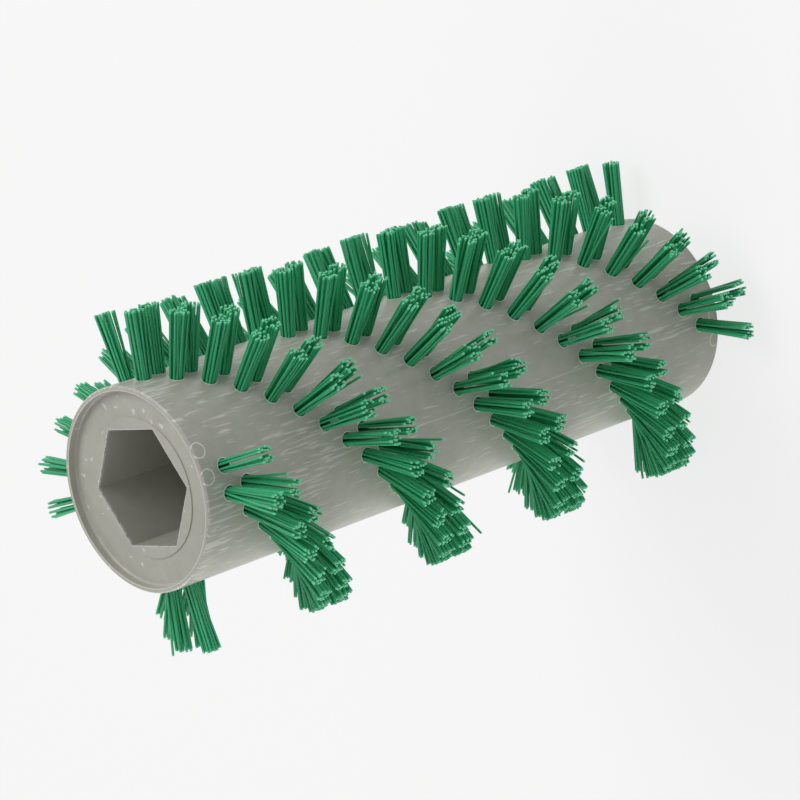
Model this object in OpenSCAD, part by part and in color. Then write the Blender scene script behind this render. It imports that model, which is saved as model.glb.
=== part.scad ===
// Cylindrical scrubbing roll for a floor cleaner: a one-piece plastic core with a hexagonal
// drive bore, and stiff nylon tufts in four double helical flights. Each tuft is a bundle of
// filaments folded round a flat metal staple, which grips the bottom of a drilled hole.
// The roll stands on its lower end. The origin is on the axis at the lower rim, +Z runs up it.

/* [Core] */
// Outside diameter of the core
core_d = 60; // [58:1:80]
// Length of the core from rim to rim
core_len = 215; // [100:5:400]
// Width of the hexagonal drive bore across its flats
hex_af = 33.6; // [20:0.2:35]
// Radial width of the raised rim round each end
rim_w = 1.4; // [0.8:0.1:3]
// Chamfer on the outer edge of each rim
rim_chamfer = 0.5; // [0.2:0.1:1]
// Depth of the turned recess inside each rim
recess_depth = 2.7; // [1:0.1:5]
// Fillet where the recess meets the rim's inner wall
recess_fillet = 0.8; // [0.3:0.1:1.5]
// Diameter of the shallow round land that surrounds the drive bore
land_d = 41; // [40.6:0.2:50]
// Height of that land above the floor of the recess
land_h = 0.3; // [0.1:0.1:1]

/* [Tuft holes] */
// Diameter of each drilled hole
hole_d = 4.2; // [3.4:0.1:5]
// Depth of each flat-bottomed hole
hole_depth = 8.5; // [6:0.5:10]
// Distance between neighbouring rings of holes along the axis
ring_pitch = 6.6; // [6:0.2:12]
// Turn from one ring to the next, which winds the flights into right-hand helices
ring_turn = 12; // [6:1:16]
// Turn between the leading and the trailing row of one flight
pair_turn = 15; // [12:1:30]
// Turn of the first leading hole from a corner of the hexagon
first_turn = 54; // [0:1:90]
// Least distance from a rim to the centre of the nearest hole
end_margin = 8.5; // [5:0.5:20]

/* [Tufts] */
// Free length of the bristles beyond the core
bristle_len = 20; // [8:1:30]
// Mean outward lean of the outer strands
splay = 2.5; // [1:0.1:2.7]
// Most that the lean of one strand differs from the mean
splay_spread = 0.6; // [0:0.1:0.8]
// Most that the lean of one strand is turned from straight outward
skew = 20; // [0:1:25]
// Gap between neighbouring strands where they leave the packed root
strand_gap = 0.08; // [0.04:0.02:0.2]
// Depth below the core's surface at which the strands come free of the packed root
mouth_gap = 0.5; // [0.3:0.05:0.6]
// Length of each strand inside the packed root
strand_root = 1.2; // [0.8:0.1:1.3]
// Radial clearance between the packed root and its hole
tuft_clear = 0.1; // [0.1:0.01:0.2]

/* [Staples] */
// Thickness of the flat staple wire
staple_t = 0.4; // [0.3:0.05:0.6]
// Height of the staple along the hole
staple_h = 1.8; // [1.2:0.1:2.4]
// Distance that each end of the staple bites into the wall of the hole
staple_bite = 0.35; // [0.2:0.05:0.6]
// Height of the folded filaments that pass under the staple
fold_h = 0.8; // [0.5:0.1:1.2]
// Clearance round the staple in the core and in the tuft
staple_clear = 0.03; // [0.01:0.01:0.06]

/* [Hidden] */

// The drilling pattern
flights = 4;
rings = floor((core_len - 2 * end_margin) / ring_pitch + 0.001) + 1;
first_z = (core_len - (rings - 1) * ring_pitch) / 2;

// Radii from the axis of the core
core_r = core_d / 2;
recess_r = core_r - rim_w;
hex_corner_r = hex_af / 2 / cos(30);
hole_floor_r = core_r - hole_depth;
mouth_r = core_r - mouth_gap;

// The packed root of a tuft, and the strands that fan out of it: one in the middle and six round
// it. The outer strands lean out from the edge of the root, and leave the hole clear of its wall.
root_d = hole_d - 2 * tuft_clear;
root_len = hole_depth - tuft_clear - mouth_gap;
outer_strands = 6;
strand_d = root_d / 3 - strand_gap;
strand_ring_r = (root_d - strand_d) / 2;
strand_len = strand_root + mouth_gap + bristle_len;

// The staple, measured up from the floor of its hole
staple_len = hole_d + 2 * staple_bite;
staple_base = tuft_clear + fold_h + staple_clear;

core_colour = [0.73, 0.72, 0.67];
bristle_colour = [0.17, 0.70, 0.46];
staple_colour = [0.72, 0.72, 0.74];

// How far a cut runs past the face that it opens
eps = 0.5;
// Facets round a large circle, and round a hole or a strand
$fn = 96;
small_fn = 24;

// Moves its children to one hole: their +Z points out of the hole, and their zero is on the axis
module at_hole(flight, row, ring) {
    turn = first_turn + flight * 360 / flights + row * pair_turn + ring * ring_turn;
    translate([0, 0, first_z + ring * ring_pitch]) rotate([0, 90, turn]) children();
}

// Arc of the fillet at the foot of a rim, where z is the recess floor and dir points out of the end
function fillet_points(z, dir, steps = 6) = [
    for (i = [0 : steps])
        let (a = 90 * i / steps)
        [recess_r - recess_fillet * (1 - cos(a)), z + dir * recess_fillet * (1 - sin(a))]
];

// Section of one end of the core, whose rim is at height z, from the outside to the axis
function end_profile(z, dir) = concat(
    [
        [core_r, z - dir * rim_chamfer],
        [core_r - rim_chamfer, z],
        [recess_r, z]
    ],
    fillet_points(z - dir * recess_depth, dir),
    [
        [land_d / 2, z - dir * recess_depth],
        [land_d / 2, z - dir * (recess_depth - land_h)],
        [0, z - dir * (recess_depth - land_h)]
    ]
);

function reversed(points) = [for (i = [len(points) - 1 : -1 : 0]) points[i]];

// One hole, as the solid that the drill removes
module drilled_hole() {
    translate([0, 0, hole_floor_r]) cylinder(d = hole_d, h = hole_depth + eps, $fn = small_fn);
}

// A staple, or the pocket that it cuts for itself when clearance is given
module staple_bar(clearance = 0) {
    size = [staple_len, staple_t, staple_h] + 2 * clearance * [1, 1, 1];
    translate([0, 0, hole_floor_r + staple_base + staple_h / 2]) cube(size, center = true);
}

// The plastic core: a turned body with recessed ends, the drive bore and all the tuft holes
module core() {
    color(core_colour)
        difference() {
            rotate_extrude()
                polygon(concat(end_profile(core_len, 1), reversed(end_profile(0, -1))));
            translate([0, 0, -eps])
                cylinder(r = hex_corner_r, h = core_len + 2 * eps, $fn = 6);
            for (flight = [0 : flights - 1], row = [0 : 1], ring = [0 : rings - 1])
                at_hole(flight, row, ring) drilled_hole();
            for (flight = [0 : flights - 1], row = [0 : 1], ring = [0 : rings - 1])
                at_hole(flight, row, ring) staple_bar(staple_clear);
        }
}

// The part of a tuft that is packed in its hole, folded under the staple and slotted for it
module packed_root() {
    difference() {
        translate([0, 0, hole_floor_r + tuft_clear]) cylinder(d = root_d, h = root_len, $fn = small_fn);
        staple_bar(staple_clear);
    }
}

// One strand of a tuft, which stands r from the middle and leans outward
module strand(r, turn, skew, lean) {
    rotate([0, 0, turn]) translate([r, 0, mouth_r - strand_root])
        rotate([0, lean, skew]) cylinder(d = strand_d, h = strand_len, $fn = small_fn);
}

// A whole tuft, whose strands lean a little differently for each seed
module tuft(seed) {
    leans = rands(splay - splay_spread, splay + splay_spread, outer_strands, seed);
    skews = rands(-skew, skew, outer_strands, -seed);
    packed_root();
    strand(0, 0, 0, 0);
    for (i = [0 : outer_strands - 1])
        strand(strand_ring_r, skews[0] + i * 360 / outer_strands, skews[i], leans[i]);
}

// One row of tufts, which winds once round the core
module tuft_row(flight, row) {
    color(bristle_colour)
        for (ring = [0 : rings - 1])
            at_hole(flight, row, ring) tuft(1 + ring + rings * (row + 2 * flight));
}

// The staples of one row of tufts
module staple_row(flight, row) {
    color(staple_colour)
        for (ring = [0 : rings - 1]) at_hole(flight, row, ring) staple_bar();
}

core();
tuft_row(0, 0);  // tufts_1_leading
tuft_row(0, 1);  // tufts_1_trailing
tuft_row(1, 0);  // tufts_2_leading
tuft_row(1, 1);  // tufts_2_trailing
tuft_row(2, 0);  // tufts_3_leading
tuft_row(2, 1);  // tufts_3_trailing
tuft_row(3, 0);  // tufts_4_leading
tuft_row(3, 1);  // tufts_4_trailing
staple_row(0, 0);  // staples_1_leading
staple_row(0, 1);  // staples_1_trailing
staple_row(1, 0);  // staples_2_leading
staple_row(1, 1);  // staples_2_trailing
staple_row(2, 0);  // staples_3_leading
staple_row(2, 1);  // staples_3_trailing
staple_row(3, 0);  // staples_4_leading
staple_row(3, 1);  // staples_4_trailing
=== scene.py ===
"""A floor cleaner's brush roll: a grey turned core with green nylon tufts in helical flights."""
import logging
import math
from dataclasses import dataclass, field
from enum import Enum
from typing import Any, Union

import bpy
from mathutils import Matrix, Vector


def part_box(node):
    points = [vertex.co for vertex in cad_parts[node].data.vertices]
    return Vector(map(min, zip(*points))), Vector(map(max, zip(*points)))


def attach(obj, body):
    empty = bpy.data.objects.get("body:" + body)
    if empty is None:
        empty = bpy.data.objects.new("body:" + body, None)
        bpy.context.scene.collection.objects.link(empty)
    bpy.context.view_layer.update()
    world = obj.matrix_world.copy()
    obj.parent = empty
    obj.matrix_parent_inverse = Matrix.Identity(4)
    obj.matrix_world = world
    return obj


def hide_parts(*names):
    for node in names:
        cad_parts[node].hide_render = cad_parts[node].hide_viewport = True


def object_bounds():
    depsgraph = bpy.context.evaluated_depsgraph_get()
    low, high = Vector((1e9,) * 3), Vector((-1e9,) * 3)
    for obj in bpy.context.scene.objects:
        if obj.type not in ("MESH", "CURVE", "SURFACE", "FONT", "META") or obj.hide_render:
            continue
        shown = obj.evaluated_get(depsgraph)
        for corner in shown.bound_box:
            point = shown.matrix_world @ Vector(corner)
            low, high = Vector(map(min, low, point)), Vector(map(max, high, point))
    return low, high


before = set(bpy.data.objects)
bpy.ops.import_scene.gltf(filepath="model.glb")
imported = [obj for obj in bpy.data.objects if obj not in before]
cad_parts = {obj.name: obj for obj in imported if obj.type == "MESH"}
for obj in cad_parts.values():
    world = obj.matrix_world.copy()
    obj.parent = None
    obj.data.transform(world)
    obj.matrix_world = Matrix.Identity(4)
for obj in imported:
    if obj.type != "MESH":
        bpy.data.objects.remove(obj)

CAD_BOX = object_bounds()
LOG = logging.getLogger("brush_roll")

MM = 0.001
Colour = tuple[float, float, float]
Value = Union["Wire", float, int]


class Row(Enum):
    """The two rows of tufts that make up one flight."""

    LEADING = "leading"
    TRAILING = "trailing"


@dataclass(frozen=True)
class Drilling:
    """The pattern of tuft holes, which both the core's finish and the tufts follow."""

    core_radius: float
    first_height: float
    last_height: float
    flights: int = 4
    rings: int = 31
    hole_radius: float = 2.1 * MM
    hole_depth: float = 8.5 * MM
    first_turn: float = math.radians(54)
    ring_turn: float = math.radians(12)
    pair_turn: float = math.radians(15)

    @property
    def pitch(self) -> float:
        """Distance between neighbouring rings of holes."""
        return (self.last_height - self.first_height) / (self.rings - 1)

    def start(self, flight: int, row: Row) -> float:
        """Works out where a row begins.

        Args:
            flight: Number of the flight, from 0.
            row: Which row of that flight.

        Returns:
            The turn of the row's lowest hole about the core's axis, in radians.
        """
        behind = self.pair_turn if row is Row.TRAILING else 0.0
        return self.first_turn + flight * math.tau / self.flights + behind


class Wire:
    """A socket of a node tree, on which sums are written as Python expressions."""

    def __init__(self, graph: "Graph", socket: bpy.types.NodeSocket) -> None:
        """Wraps one output socket of a graph."""
        self.graph = graph
        self.socket = socket

    def maths(self, operation: str, *operands: Value) -> "Wire":
        """Adds a Math node.

        Args:
            operation: Name of the node's operation.
            operands: What goes into its sockets, in order.

        Returns:
            The node's result.
        """
        return self.graph.add("ShaderNodeMath", {"operation": operation}, dict(enumerate(operands)))

    def __add__(self, other: Value) -> "Wire":
        """Adds a value or another wire."""
        return self.maths("ADD", self, other)

    def __radd__(self, other: Value) -> "Wire":
        """Is added to a value."""
        return self.maths("ADD", other, self)

    def __sub__(self, other: Value) -> "Wire":
        """Subtracts a value or another wire."""
        return self.maths("SUBTRACT", self, other)

    def __rsub__(self, other: Value) -> "Wire":
        """Is subtracted from a value."""
        return self.maths("SUBTRACT", other, self)

    def __mul__(self, other: Value) -> "Wire":
        """Multiplies by a value or another wire."""
        return self.maths("MULTIPLY", self, other)

    def __rmul__(self, other: Value) -> "Wire":
        """Multiplies a value."""
        return self.maths("MULTIPLY", other, self)

    def __truediv__(self, other: Value) -> "Wire":
        """Divides by a value or another wire."""
        return self.maths("DIVIDE", self, other)

    def __abs__(self) -> "Wire":
        """Drops the sign."""
        return self.maths("ABSOLUTE", self)

    def floor(self) -> "Wire":
        """Rounds down."""
        return self.maths("FLOOR", self)

    def nearest(self) -> "Wire":
        """Rounds to the nearest whole number."""
        return self.maths("ROUND", self)

    def sign(self) -> "Wire":
        """Gives -1, 0 or 1."""
        return self.maths("SIGN", self)

    def sine(self) -> "Wire":
        """Gives the sine of an angle in radians."""
        return self.maths("SINE", self)

    def cosine(self) -> "Wire":
        """Gives the cosine of an angle in radians."""
        return self.maths("COSINE", self)

    def above(self, limit: Value) -> "Wire":
        """Gives 1 above a limit and 0 below it."""
        return self.maths("GREATER_THAN", self, limit)

    def smaller(self, other: Value) -> "Wire":
        """Gives the smaller of two values."""
        return self.maths("MINIMUM", self, other)

    def larger(self, other: Value) -> "Wire":
        """Gives the larger of two values."""
        return self.maths("MAXIMUM", self, other)

    def length_with(self, other: "Wire") -> "Wire":
        """Gives the long side of a right triangle whose short sides are the two wires."""
        return (self * self + other * other).maths("SQRT", self * self + other * other)

    def ramp(self, low: float, high: float) -> "Wire":
        """Climbs smoothly from 0 to 1.

        Args:
            low: Value at which the result is still 0.
            high: Value from which the result is 1. It may be below low, for a ramp that falls.

        Returns:
            The ramp's height.
        """
        start, stop, first, last = (low, high, 0.0, 1.0) if low < high else (high, low, 1.0, 0.0)
        sockets = {"Value": self, "From Min": start, "From Max": stop, "To Min": first, "To Max": last}
        return self.graph.add("ShaderNodeMapRange", {"interpolation_type": "SMOOTHSTEP"}, sockets)


class Graph:
    """A node tree that is being built."""

    def __init__(self, tree: bpy.types.NodeTree) -> None:
        """Starts on an empty tree."""
        self.tree = tree
        tree.nodes.clear()

    @staticmethod
    def find(sockets: Any, key: Union[int, str]) -> bpy.types.NodeSocket:
        """Finds a socket.

        Args:
            sockets: A node's inputs or outputs.
            key: The socket's number, or its name among those that the node's settings leave in use.

        Returns:
            The socket.
        """
        if isinstance(key, int):
            return sockets[key]
        return next(socket for socket in sockets if socket.name == key and socket.enabled)

    def add(
        self,
        kind: str,
        settings: dict[str, Any] | None = None,
        inputs: dict[Union[int, str], Any] | None = None,
        output: Union[int, str] = 0,
    ) -> Wire:
        """Adds a node.

        Args:
            kind: The node's type.
            settings: Its properties, set first. The key stops holds a ramp's places and colours.
            inputs: The value or wire of each socket, by name or number.
            output: Name or number of the output that is wanted.

        Returns:
            That output.
        """
        node = self.tree.nodes.new(kind)
        for name, value in (settings or {}).items():
            if name == "stops":
                self.set_stops(node.color_ramp.elements, value)
            else:
                setattr(node, name, value)
        for key, value in (inputs or {}).items():
            socket = self.find(node.inputs, key)
            if isinstance(value, Wire):
                self.tree.links.new(value.socket, socket)
            else:
                socket.default_value = value
        if not node.outputs:
            return Wire(self, node.inputs[0])
        return Wire(self, self.find(node.outputs, output))

    @staticmethod
    def set_stops(elements: Any, stops: list[tuple[float, Colour]]) -> None:
        """Gives a colour ramp its stops."""
        while len(elements) < len(stops):
            elements.new(1.0)
        for element, (place, colour) in zip(elements, stops):
            element.position = place
            element.color = (*colour, 1.0)

    def noise(self, vector: Wire, scale: float, detail: float = 2.0, roughness: float = 0.5) -> Wire:
        """Adds a noise texture.

        Args:
            vector: Where the noise is read.
            scale: Number of its features in one unit of that vector.
            detail: Number of finer layers.
            roughness: Weight of the finer layers.

        Returns:
            The noise, around 0.5.
        """
        sockets = {"Vector": vector, "Scale": scale, "Detail": detail, "Roughness": roughness}
        return self.add("ShaderNodeTexNoise", {"noise_dimensions": "3D"}, sockets)

    def stretch(self, vector: Wire, scale: tuple[float, float, float]) -> Wire:
        """Scales a vector's three parts, each by its own factor."""
        return self.add("ShaderNodeVectorMath", {"operation": "MULTIPLY"}, {0: vector, 1: scale})

    def blend(self, share: Value, first: Union[Wire, Colour], second: Union[Wire, Colour]) -> Wire:
        """Mixes two colours.

        Args:
            share: How much of the second colour there is, from 0 to 1.
            first: The colour at 0.
            second: The colour at 1.

        Returns:
            The mixed colour.
        """
        paints = [paint if isinstance(paint, Wire) else (*paint, 1.0) for paint in (first, second)]
        sockets = {"Factor": share, "A": paints[0], "B": paints[1]}
        return self.add("ShaderNodeMix", {"data_type": "RGBA"}, sockets, "Result")

    def bump(self, height: Wire, distance: float, normal: Wire | None = None) -> Wire:
        """Adds a bump.

        Args:
            height: The relief, from 0 to 1.
            distance: How high 1 is, in metres.
            normal: The normal that the relief is added to, if it isn't the surface's own.

        Returns:
            The normal.
        """
        sockets: dict[Union[int, str], Any] = {"Strength": 1.0, "Distance": distance, "Height": height}
        if normal is not None:
            sockets["Normal"] = normal
        return self.add("ShaderNodeBump", None, sockets)


def new_material(name: str) -> tuple[bpy.types.Material, Graph]:
    """Makes an empty material.

    Args:
        name: The material's name.

    Returns:
        The material, and its node tree as a graph.
    """
    material = bpy.data.materials.new(name)
    material.use_nodes = True
    return material, Graph(material.node_tree)


@dataclass(frozen=True)
class CoreFinish:
    """Turned grey plastic: mottled, scuffed along its length, with pale burrs where tools cut it, and painted
    highlights on the hole lips, the bore's edge and the rim's inner edge.
    """

    drilling: Drilling
    top: float
    grey: Colour = (0.50, 0.49, 0.43)
    dark_grey: Colour = (0.36, 0.37, 0.31)
    pale: Colour = (0.80, 0.79, 0.74)
    half_flats: float = 16.8 * MM
    land_radius: float = 20.5 * MM
    rim_inner: float = 28.6 * MM
    seam_turn: float = math.radians(-126.5)
    burr: float = 0.28 * MM

    def material(self) -> bpy.types.Material:
        """Builds the material.

        Returns:
            The finish for the core.
        """
        material, graph = new_material("core_grey_plastic")
        place = graph.add("ShaderNodeTexCoord", output="Object")
        split = {"Vector": place}
        x = graph.add("ShaderNodeSeparateXYZ", None, split, "X")
        y = graph.add("ShaderNodeSeparateXYZ", None, split, "Y")
        z = graph.add("ShaderNodeSeparateXYZ", None, split, "Z")
        radius = x.length_with(y)
        turn = x.maths("ARCTAN2", y, x)
        side = radius.ramp(self.drilling.core_radius - 0.7 * MM, self.drilling.core_radius - 0.3 * MM)
        from_end = z.smaller(self.top - z)

        mottle = graph.noise(place, 260.0, 3.0, 0.6)
        cloud = graph.noise(place, 38.0, 2.0, 0.5)
        streaks = graph.noise(graph.stretch(place, (1.0, 1.0, 0.05)), 900.0, 2.0, 0.6)
        scuffs = self.scuffs(graph, place, from_end) * side
        hole_lips_and_highlights = self.hole_lips_and_highlights(graph, turn, z) * side
        seam = self.seam(turn) * side
        end_marks_and_highlights = self.end_marks_and_edge_highlights(graph, place, x, y, radius, from_end)

        shade = (0.30 + (mottle - 0.5) * 0.9 + (cloud - 0.5) * 0.9 + (streaks - 0.5) * 0.5 * side)
        base = graph.blend(shade.larger(0.0).smaller(1.0), self.grey, self.dark_grey)
        # The pale mask holds real wear (scuffs, seam, nicks) and burrs, together with painted highlights on the hole
        # lips, the bore's edge and the rim's inner edge.
        wear_and_highlights = scuffs.larger(seam * 0.45).larger(hole_lips_and_highlights).larger(end_marks_and_highlights)
        colour = graph.blend(wear_and_highlights.smaller(1.0), base, self.pale)

        relief = (mottle * 0.5 + streaks * 0.5) + wear_and_highlights * 0.8
        shader = graph.add(
            "ShaderNodeBsdfPrincipled",
            None,
            {
                "Base Color": colour,
                "Roughness": 0.34 + (mottle - 0.5) * 0.12 + wear_and_highlights * 0.2,
                "IOR": 1.49,
                "Normal": graph.bump(relief, 0.03 * MM),
            },
        )
        graph.add("ShaderNodeOutputMaterial", None, {"Surface": shader})
        return material

    def scuffs(self, graph: Graph, place: Wire, from_end: Wire) -> Wire:
        """Draws short pale strokes along the core, thicker near its ends.

        Args:
            graph: The material's graph.
            place: Object coordinates.
            from_end: Distance to the nearer end of the core.

        Returns:
            How pale the plastic is there, from 0 to 1.
        """
        strokes = graph.noise(graph.stretch(place, (1.0, 1.0, 0.09)), 1300.0, 1.0, 0.5)
        patches = graph.noise(place, 55.0, 1.0, 0.5)
        near_end = from_end.ramp(95 * MM, 5 * MM)
        return (strokes - 0.62 + (patches - 0.5) * 0.35 + near_end * 0.05).ramp(0.0, 0.12) * 0.55

    def hole_lips_and_highlights(self, graph: Graph, turn: Wire, z: Wire) -> Wire:
        """Draws the pale lip that the drill left round each hole, whose paleness is partly a painted highlight on the
        raised lip.

        Args:
            graph: The material's graph. It is not used.
            turn: Turn about the axis, in radians.
            z: Height.

        Returns:
            How much of the lip there is, from 0 to 1.
        """
        drilling = self.drilling
        ring = ((z - drilling.first_height) / drilling.pitch).nearest()
        rise = z - drilling.first_height - ring * drilling.pitch
        quarter = math.tau / drilling.flights
        past = turn - drilling.first_turn - ring * drilling.ring_turn
        gap = None
        for offset in (0.0, drilling.pair_turn):
            steps = (past - offset) / quarter
            across = (steps - steps.nearest()) * quarter * drilling.core_radius
            distance = across.length_with(rise)
            gap = distance if gap is None else gap.smaller(distance)
        edge = drilling.hole_radius
        # Pale lip round each hole: a burr, its paleness partly a painted highlight where the raised lip catches the
        # light.
        return gap.ramp(edge - 0.1 * MM, edge) * gap.ramp(edge + self.burr + 0.12 * MM, edge + self.burr)

    def seam(self, turn: Wire) -> Wire:
        """Draws the faint line that runs the length of the core."""
        return (abs(turn - self.seam_turn) * self.drilling.core_radius).ramp(0.22 * MM, 0.08 * MM)

    def end_marks_and_edge_highlights(self, graph: Graph, place: Wire, x: Wire, y: Wire, radius: Wire, from_end: Wire) -> Wire:
        """Draws the pale burr round the drive bore with a painted highlight on its edge, a painted highlight along the
        rim's inner edge and a few nicks on the end faces.

        Args:
            graph: The material's graph.
            place: Object coordinates.
            x: First part of those coordinates.
            y: Second part of those coordinates.
            radius: Distance from the axis.
            from_end: Distance to the nearer end of the core.

        Returns:
            How pale the end face is painted there, burrs, nicks and painted highlights together, from 0 to 1.
        """
        flats = abs(y)
        for angle in (math.radians(30), math.radians(-30)):
            flats = flats.larger(abs(x * math.cos(angle) + y * math.sin(angle)))
        ragged = graph.noise(place, 700.0, 2.0, 0.6)
        # Pale ragged line round the bore: a burr, with a painted highlight where its chamfered edge catches the light.
        bore_burr_and_highlight = flats.ramp(self.half_flats + self.burr, self.half_flats + self.burr * 0.4) * ragged.ramp(0.32, 0.5)
        # Painted highlight: a pale ring along the rim's inner edge, where the edge catches the light.
        rim_edge_highlight = abs(radius - self.rim_inner).ramp(0.25 * MM, 0.1 * MM) * from_end.ramp(0.4 * MM, 0.1 * MM)
        nicks = graph.noise(graph.stretch(place, (1.0, 1.0, 0.2)), 420.0, 0.0, 0.5).ramp(0.74, 0.8)
        on_end = from_end.ramp(3.2 * MM, 3.0 * MM)
        return (bore_burr_and_highlight * 0.75).larger(rim_edge_highlight * 0.8).larger(nicks * 0.6) * on_end


@dataclass(frozen=True)
class FilamentFinish:
    """Satin green nylon, paler at the cut tips, with painted shade that darkens it towards the root."""

    green: Colour = (0.045, 0.52, 0.24)
    deep_green: Colour = (0.022, 0.36, 0.15)
    cut_green: Colour = (0.20, 0.82, 0.48)

    def material(self) -> bpy.types.Material:
        """Builds the material, which reads the attributes that the tufts carry.

        Returns:
            The finish for the filaments.
        """
        material, graph = new_material("bristle_green_nylon")
        along = graph.add("ShaderNodeAttribute", {"attribute_name": "along"}, output="Fac")
        shade = graph.add("ShaderNodeAttribute", {"attribute_name": "shade"}, output="Fac")
        place = graph.add("ShaderNodeTexCoord", output="Object")
        streaks = graph.noise(place, 900.0, 1.0, 0.5)
        # Random tone per filament and streaks, plus painted shade: each filament darkens towards its root among the
        # tufts.
        tone_and_root_shade = (shade * 0.7 + (streaks - 0.5) * 0.5 + 0.35 * (1.0 - along)).larger(0.0).smaller(1.0)
        body = graph.blend(tone_and_root_shade, self.green, self.deep_green)
        colour = graph.blend(along.ramp(0.965, 0.985) * 0.8, body, self.cut_green)
        shader = graph.add(
            "ShaderNodeBsdfPrincipled",
            None,
            {
                "Base Color": colour,
                "Roughness": 0.32 + shade * 0.12,
                "IOR": 1.53,
                "Normal": graph.bump(streaks, 0.02 * MM),
            },
        )
        graph.add("ShaderNodeOutputMaterial", None, {"Surface": shader})
        return material


@dataclass(frozen=True)
class StapleFinish:
    """Flat drawn steel wire."""

    steel: Colour = (0.60, 0.60, 0.62)
    dull_steel: Colour = (0.42, 0.42, 0.44)

    def material(self) -> bpy.types.Material:
        """Builds the material.

        Returns:
            The finish for the staples.
        """
        material, graph = new_material("staple_steel")
        place = graph.add("ShaderNodeTexCoord", output="Object")
        drawn = graph.noise(graph.stretch(place, (1.0, 1.0, 0.1)), 4000.0, 2.0, 0.6)
        shader = graph.add(
            "ShaderNodeBsdfPrincipled",
            None,
            {
                "Base Color": graph.blend(drawn, self.steel, self.dull_steel),
                "Metallic": 1.0,
                "Roughness": 0.25 + drawn * 0.2,
            },
        )
        graph.add("ShaderNodeOutputMaterial", None, {"Surface": shader})
        return material


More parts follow.
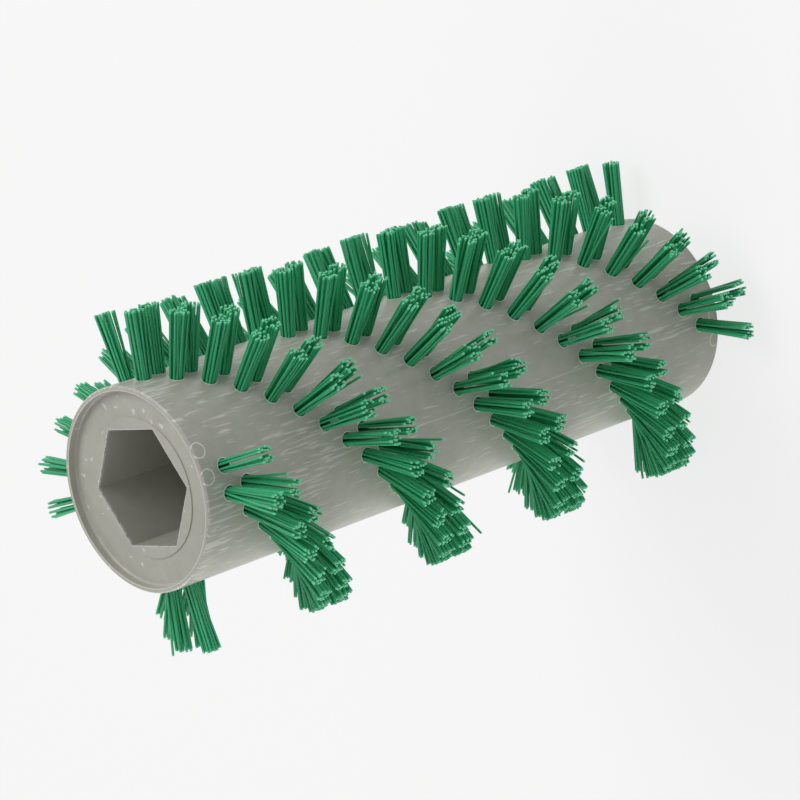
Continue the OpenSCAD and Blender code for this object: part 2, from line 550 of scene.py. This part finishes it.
@dataclass
class TuftTree:
    """The Geometry Nodes tree that makes one row of tufts from folded filaments."""

    points: int = 11
    sides: int = 6
    inner_folds: int = 5
    sockets: dict[str, str] = field(default_factory=dict)
    tree: bpy.types.NodeTree | None = None

    INPUTS = {
        "Holes": "NodeSocketInt",
        "Folds": "NodeSocketInt",
        "First Turn": "NodeSocketFloat",
        "Ring Turn": "NodeSocketFloat",
        "First Height": "NodeSocketFloat",
        "Pitch": "NodeSocketFloat",
        "Core Radius": "NodeSocketFloat",
        "Hole Depth": "NodeSocketFloat",
        "Free Length": "NodeSocketFloat",
        "Filament Radius": "NodeSocketFloat",
        "Splay": "NodeSocketFloat",
        "Wander": "NodeSocketFloat",
        "Stray Share": "NodeSocketFloat",
        "Stray Reach": "NodeSocketFloat",
        "Seed": "NodeSocketInt",
        "Finish": "NodeSocketMaterial",
    }

    def build(self) -> None:
        """Builds the tree and keeps the identifier of each input."""
        tree = bpy.data.node_groups.new("row_of_tufts", "GeometryNodeTree")
        tree.interface.new_socket("Geometry", in_out="OUTPUT", socket_type="NodeSocketGeometry")
        for name, kind in self.INPUTS.items():
            item = tree.interface.new_socket(name, in_out="INPUT", socket_type=kind)
            self.sockets[name] = item.identifier
        self.tree = tree
        graph = Graph(tree)
        self.graph = graph
        group = tree.nodes.new("NodeGroupInput")
        given = {name: Wire(graph, Graph.find(group.outputs, name)) for name in self.INPUTS}

        index = graph.add("GeometryNodeInputIndex")
        fold_number = (index / self.points).floor()
        hole = (fold_number / given["Folds"]).floor()
        fold = fold_number - hole * given["Folds"]
        step = index - fold_number * self.points - (self.points - 1) / 2
        leg_side = step.sign()
        level = abs(step)
        leg = fold_number * 2 + leg_side.above(0.0)

        along = ((level - 2.0) / ((self.points - 1) / 2 - 2.0)).larger(0.0)
        height = self.heights(given, level, along, leg)
        axial, tangent = self.spread(given, hole, fold, leg, leg_side, level, along)
        turn = given["First Turn"] + hole * given["Ring Turn"]
        rise = given["First Height"] + hole * given["Pitch"] + axial
        place = graph.add(
            "ShaderNodeCombineXYZ",
            None,
            {
                "X": turn.cosine() * height - turn.sine() * tangent,
                "Y": turn.sine() * height + turn.cosine() * tangent,
                "Z": rise,
            },
        )
        count = given["Holes"] * given["Folds"] * self.points
        cloud = graph.add("GeometryNodePoints", None, {"Count": count, "Position": place})
        cloud = self.keep(cloud, "along", along)
        cloud = self.keep(cloud, "shade", self.chance(given, leg, 0.0, 1.0, 11))
        self.finish(given, cloud, index, fold_number)

    def chance(self, given: dict[str, Wire], key: Wire, low: Value, high: Value, salt: int) -> Wire:
        """Draws a random number.

        Args:
            given: The tree's inputs.
            key: What the number belongs to.
            low: The least that it can be.
            high: The most that it can be.
            salt: Number that tells this draw from the others.

        Returns:
            The number.
        """
        sockets = {"Min": low, "Max": high, "ID": key, "Seed": given["Seed"] + salt}
        return self.graph.add("FunctionNodeRandomValue", {"data_type": "FLOAT"}, sockets, "Value")

    def keep(self, cloud: Wire, name: str, value: Wire) -> Wire:
        """Stores a number on every point."""
        settings = {"data_type": "FLOAT", "domain": "POINT"}
        return self.graph.add(
            "GeometryNodeStoreNamedAttribute", settings, {"Geometry": cloud, "Name": name, "Value": value}
        )

    def heights(self, given: dict[str, Wire], level: Wire, along: Wire, leg: Wire) -> Wire:
        """Works out each point's distance from the core's axis.

        Args:
            given: The tree's inputs.
            level: Number of steps from the fold.
            along: Share of the free length, from 0 in the hole to 1 at the tip.
            leg: Number of the leg.

        Returns:
            The distance: the fold lies under the staple, and the legs rise past it.
        """
        floor = given["Core Radius"] - given["Hole Depth"]
        mouth = given["Core Radius"] - 1.0 * MM
        low = floor + 0.5 * MM + level * 0.7 * MM
        uneven = self.chance(given, leg, -0.55 * MM, 0.0, 7)
        high = mouth + along * (given["Free Length"] + 1.0 * MM + uneven)
        risen = level.above(1.5)
        return low * (1.0 - risen) + high * risen

    def spread(
        self, given: dict[str, Wire], hole: Wire, fold: Wire, leg: Wire, leg_side: Wire, level: Wire, along: Wire
    ) -> tuple[Wire, Wire]:
        """Works out how far each point lies from the middle of its tuft.

        Args:
            given: The tree's inputs.
            hole: Number of the hole.
            fold: Number of the filament in its tuft.
            leg: Number of the leg.
            leg_side: -1 for one leg of the filament, 1 for the other and 0 at its fold.
            level: Number of steps from the fold.
            along: Share of the free length.

        Returns:
            The distances along the core and round it.
        """
        radius = given["Filament Radius"]
        outer = fold.above(self.inner_folds - 0.5)
        inner_column = fold - (self.inner_folds - 1) / 2
        outer_column = fold - self.inner_folds - 1.5
        column = inner_column * (1.0 - outer) + outer_column * outer
        risen = level.above(1.5)
        across = column * (radius * 2.08 - outer * 0.03 * MM)
        away = 0.25 * MM + radius + (radius * 1.9) * outer + risen * 0.05 * MM
        swing = self.chance(given, leg, -math.pi, math.pi, 1)
        wander = self.chance(given, leg, 0.0, 1.0, 2) * given["Wander"]
        stray = self.chance(given, leg, 0.0, 1.0, 3).above(1.0 - given["Stray Share"])
        reach = (wander + stray * given["Stray Reach"]) * along
        curl = self.chance(given, leg, -0.35 * MM, 0.35 * MM, 4) * along * along
        lean_round = self.chance(given, hole, -0.7 * MM, 0.7 * MM, 5) * along
        lean_along = self.chance(given, hole, -0.7 * MM, 0.7 * MM, 6) * along
        jitter_round = self.chance(given, leg, -0.12 * MM, 0.12 * MM, 8) * risen
        jitter_along = self.chance(given, leg, -0.12 * MM, 0.12 * MM, 9) * risen
        opening = 1.0 + given["Splay"] * along
        axial = across * opening + swing.cosine() * (reach + curl) + lean_along + jitter_along
        tangent = away * leg_side * opening + swing.sine() * (reach + curl) + lean_round + jitter_round
        return axial, tangent

    def finish(self, given: dict[str, Wire], cloud: Wire, index: Wire, fold_number: Wire) -> None:
        """Turns the points into filaments.

        Args:
            given: The tree's inputs.
            cloud: The points.
            index: Number of each point.
            fold_number: Number of the filament that each point belongs to.
        """
        graph = self.graph
        paths = graph.add(
            "GeometryNodePointsToCurves", None, {"Points": cloud, "Curve Group ID": fold_number, "Weight": index}
        )
        section = graph.add(
            "GeometryNodeCurvePrimitiveCircle",
            {"mode": "RADIUS"},
            {"Resolution": self.sides, "Radius": given["Filament Radius"]},
        )
        skin = graph.add(
            "GeometryNodeCurveToMesh", None, {"Curve": paths, "Profile Curve": section, "Fill Caps": True}
        )
        angle = graph.add("GeometryNodeInputMeshEdgeAngle", output="Unsigned Angle")
        crisp = graph.add(
            "GeometryNodeSetShadeSmooth",
            {"domain": "EDGE"},
            {"Geometry": skin, "Selection": angle.above(math.radians(75)), "Shade Smooth": False},
        )
        real = graph.add("GeometryNodeRealizeInstances", None, {"Geometry": crisp})
        painted = graph.add("GeometryNodeSetMaterial", None, {"Geometry": real, "Material": given["Finish"]})
        graph.add("NodeGroupOutput", None, {"Geometry": painted})


@dataclass
class TuftRow:
    """One row of tufts, which winds once round the core."""

    drilling: Drilling
    flight: int
    row: Row
    filaments: int = 9
    filament_radius: float = 0.375 * MM
    free_length: float = 20.0 * MM
    splay: float = 0.34
    wander: float = 0.55 * MM
    stray_share: float = 0.045
    stray_reach: float = 2.2 * MM

    @property
    def node(self) -> str:
        """Name of the CAD node that the row stands for."""
        return f"tufts_{self.flight + 1}_{self.row.value}"

    def build(self, tree: TuftTree, finish: bpy.types.Material) -> bpy.types.Object:
        """Makes the row.

        Args:
            tree: The tree that makes the tufts.
            finish: Material of the filaments.

        Returns:
            The row as a plain mesh.
        """
        drilling = self.drilling
        sizes = {
            "Holes": drilling.rings,
            "Folds": self.filaments,
            "First Turn": drilling.start(self.flight, self.row),
            "Ring Turn": drilling.ring_turn,
            "First Height": drilling.first_height,
            "Pitch": drilling.pitch,
            "Core Radius": drilling.core_radius,
            "Hole Depth": drilling.hole_depth,
            "Free Length": self.free_length,
            "Filament Radius": self.filament_radius,
            "Splay": self.splay,
            "Wander": self.wander,
            "Stray Share": self.stray_share,
            "Stray Reach": self.stray_reach,
            "Seed": 100 * (1 + self.flight) + len(self.row.value),
            "Finish": finish,
        }
        name = f"filaments_{self.flight + 1}_{self.row.value}"
        piece = bpy.data.objects.new(name, bpy.data.meshes.new(name))
        bpy.context.scene.collection.objects.link(piece)
        modifier = piece.modifiers.new("tufts", "NODES")
        modifier.node_group = tree.tree
        for size, value in sizes.items():
            modifier[tree.sockets[size]] = value
        graph = bpy.context.evaluated_depsgraph_get()
        mesh = bpy.data.meshes.new_from_object(
            piece.evaluated_get(graph), preserve_all_data_layers=True, depsgraph=graph
        )
        piece.modifiers.clear()
        piece.data = mesh
        mesh.name = name
        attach(piece, "root")
        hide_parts(self.node)
        return piece


@dataclass
class BrushRoll:
    """The whole roll: the core, its staples and its eight rows of tufts."""

    drilling: Drilling
    top: float

    def dress(self, node: str, material: bpy.types.Material) -> None:
        """Puts a material in every slot of a CAD node."""
        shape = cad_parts[node]
        for slot in shape.material_slots:
            slot.material = material
        LOG.info("dressed %s with %s", node, material.name)

    def build(self) -> None:
        """Dresses the core and the staples, and makes the tufts."""
        self.dress("core", CoreFinish(self.drilling, self.top).material())
        steel = StapleFinish().material()
        nylon = FilamentFinish().material()
        tree = TuftTree()
        tree.build()
        for flight in range(self.drilling.flights):
            for row in Row:
                self.dress(f"staples_{flight + 1}_{row.value}", steel)
                piece = TuftRow(self.drilling, flight, row).build(tree, nylon)
                LOG.info("made %s with %d faces", piece.name, len(piece.data.polygons))


@dataclass
class Studio:
    """Camera, pale floor and soft lights, the lights placed as the picture shows them."""

    place: Vector = field(default_factory=lambda: Vector((-0.27067, -0.83317, 0.89426)))
    right: Vector = field(default_factory=lambda: Vector((-0.50885, -0.49649, -0.70326)))
    up: Vector = field(default_factory=lambda: Vector((0.82963, -0.50087, -0.24668)))
    lens: float = 178.49
    ambient: float = 0.42
    floor_half: float = 4.0

    def camera(self) -> None:
        """Makes the camera, which sees the roll lie across the picture."""
        data = bpy.data.cameras.new("camera")
        data.lens = self.lens
        data.sensor_width = 36.0
        data.clip_start = 0.01
        camera = bpy.data.objects.new("camera", data)
        bpy.context.scene.collection.objects.link(camera)
        back = self.right.cross(self.up).normalized()
        turned = Matrix((self.right, self.up, back)).transposed().to_4x4()
        camera.matrix_world = Matrix.Translation(self.place) @ turned
        bpy.context.scene.camera = camera

    def light(self, name: str, toward: Vector, distance: float, size: float, power: float) -> None:
        """Adds a square soft light that faces the middle of the roll.

        Args:
            name: The light's name.
            toward: Direction of the light from the roll: right, up and nearer in the picture.
            distance: How far away it is.
            size: Length of its side.
            power: Its power in watts.
        """
        back = self.right.cross(self.up).normalized()
        middle = Vector((0.0, 0.0, 0.5 * CAD_BOX[1][2]))
        out = (self.right * toward.x + self.up * toward.y + back * toward.z).normalized()
        data = bpy.data.lights.new(name, "AREA")
        data.shape = "SQUARE"
        data.size = size
        data.energy = power
        lamp = bpy.data.objects.new(name, data)
        bpy.context.scene.collection.objects.link(lamp)
        lamp.matrix_world = Matrix.Translation(middle + out * distance) @ out.to_track_quat("Z", "Y").to_matrix().to_4x4()

    @staticmethod
    def seen(graph: Graph) -> Wire:
        """Gives 1 where a surface is seen by the camera, or in a reflection or through glass."""
        rays = [graph.add("ShaderNodeLightPath", output=name) for name in ("Is Camera Ray", "Is Glossy Ray", "Is Transmission Ray")]
        return rays[0].larger(rays[1]).larger(rays[2])

    def world(self) -> None:
        """Makes the even light all round, which the camera sees as white."""
        world = bpy.data.worlds.new("white_room")
        bpy.context.scene.world = world
        world.use_nodes = True
        graph = Graph(world.node_tree)
        seen = self.seen(graph)
        strength = seen + (1.0 - seen) * self.ambient
        sky = graph.add("ShaderNodeBackground", None, {"Color": (1.0, 1.0, 1.0, 1.0), "Strength": strength})
        graph.add("ShaderNodeOutputWorld", None, {"Surface": sky})

    def floor(self) -> None:
        """Lays the pale floor that the roll stands on."""
        half = self.floor_half
        mesh = bpy.data.meshes.new("floor")
        corners = [(-half, -half, 0.0), (half, -half, 0.0), (half, half, 0.0), (-half, half, 0.0)]
        mesh.from_pydata(corners, [], [(0, 1, 2, 3)])
        floor = bpy.data.objects.new("floor", mesh)
        bpy.context.scene.collection.objects.link(floor)
        material, graph = new_material("white_floor")
        board = graph.add("ShaderNodeBsdfDiffuse", None, {"Color": (0.92, 0.92, 0.91, 1.0)})
        glow = graph.add("ShaderNodeEmission", None, {"Color": (1.0, 1.0, 1.0, 1.0), "Strength": 1.0})
        surface = graph.add("ShaderNodeMixShader", None, {0: self.seen(graph) * 0.75, 1: board, 2: glow})
        graph.add("ShaderNodeOutputMaterial", None, {"Surface": surface})
        mesh.materials.append(material)

    def build(self) -> None:
        """Sets up the camera, the floor and the lights."""
        self.camera()
        self.floor()
        self.world()
        self.light("left_window", Vector((-1.0, 0.5, 0.6)), 1.6, 1.0, 11.0)
        self.light("rear_window", Vector((0.1, 0.9, -0.75)), 1.5, 0.9, 22.0)
        self.light("table_glow", Vector((0.1, -1.0, -0.35)), 1.4, 1.1, 16.0)
        bpy.context.scene.view_settings.view_transform = "Standard"


def main() -> None:
    """Builds the studio and the roll."""
    logging.basicConfig(level=logging.INFO, format="%(message)s")
    core_low, core_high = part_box("core")
    staple_low, staple_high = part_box("staples_1_leading")
    end_margin = 8.5 * MM
    drilling = Drilling(core_high.x, core_low.z + end_margin, core_high.z - end_margin)
    Studio().build()
    BrushRoll(drilling, core_high.z).build()


if __name__ == "__main__":
    main()
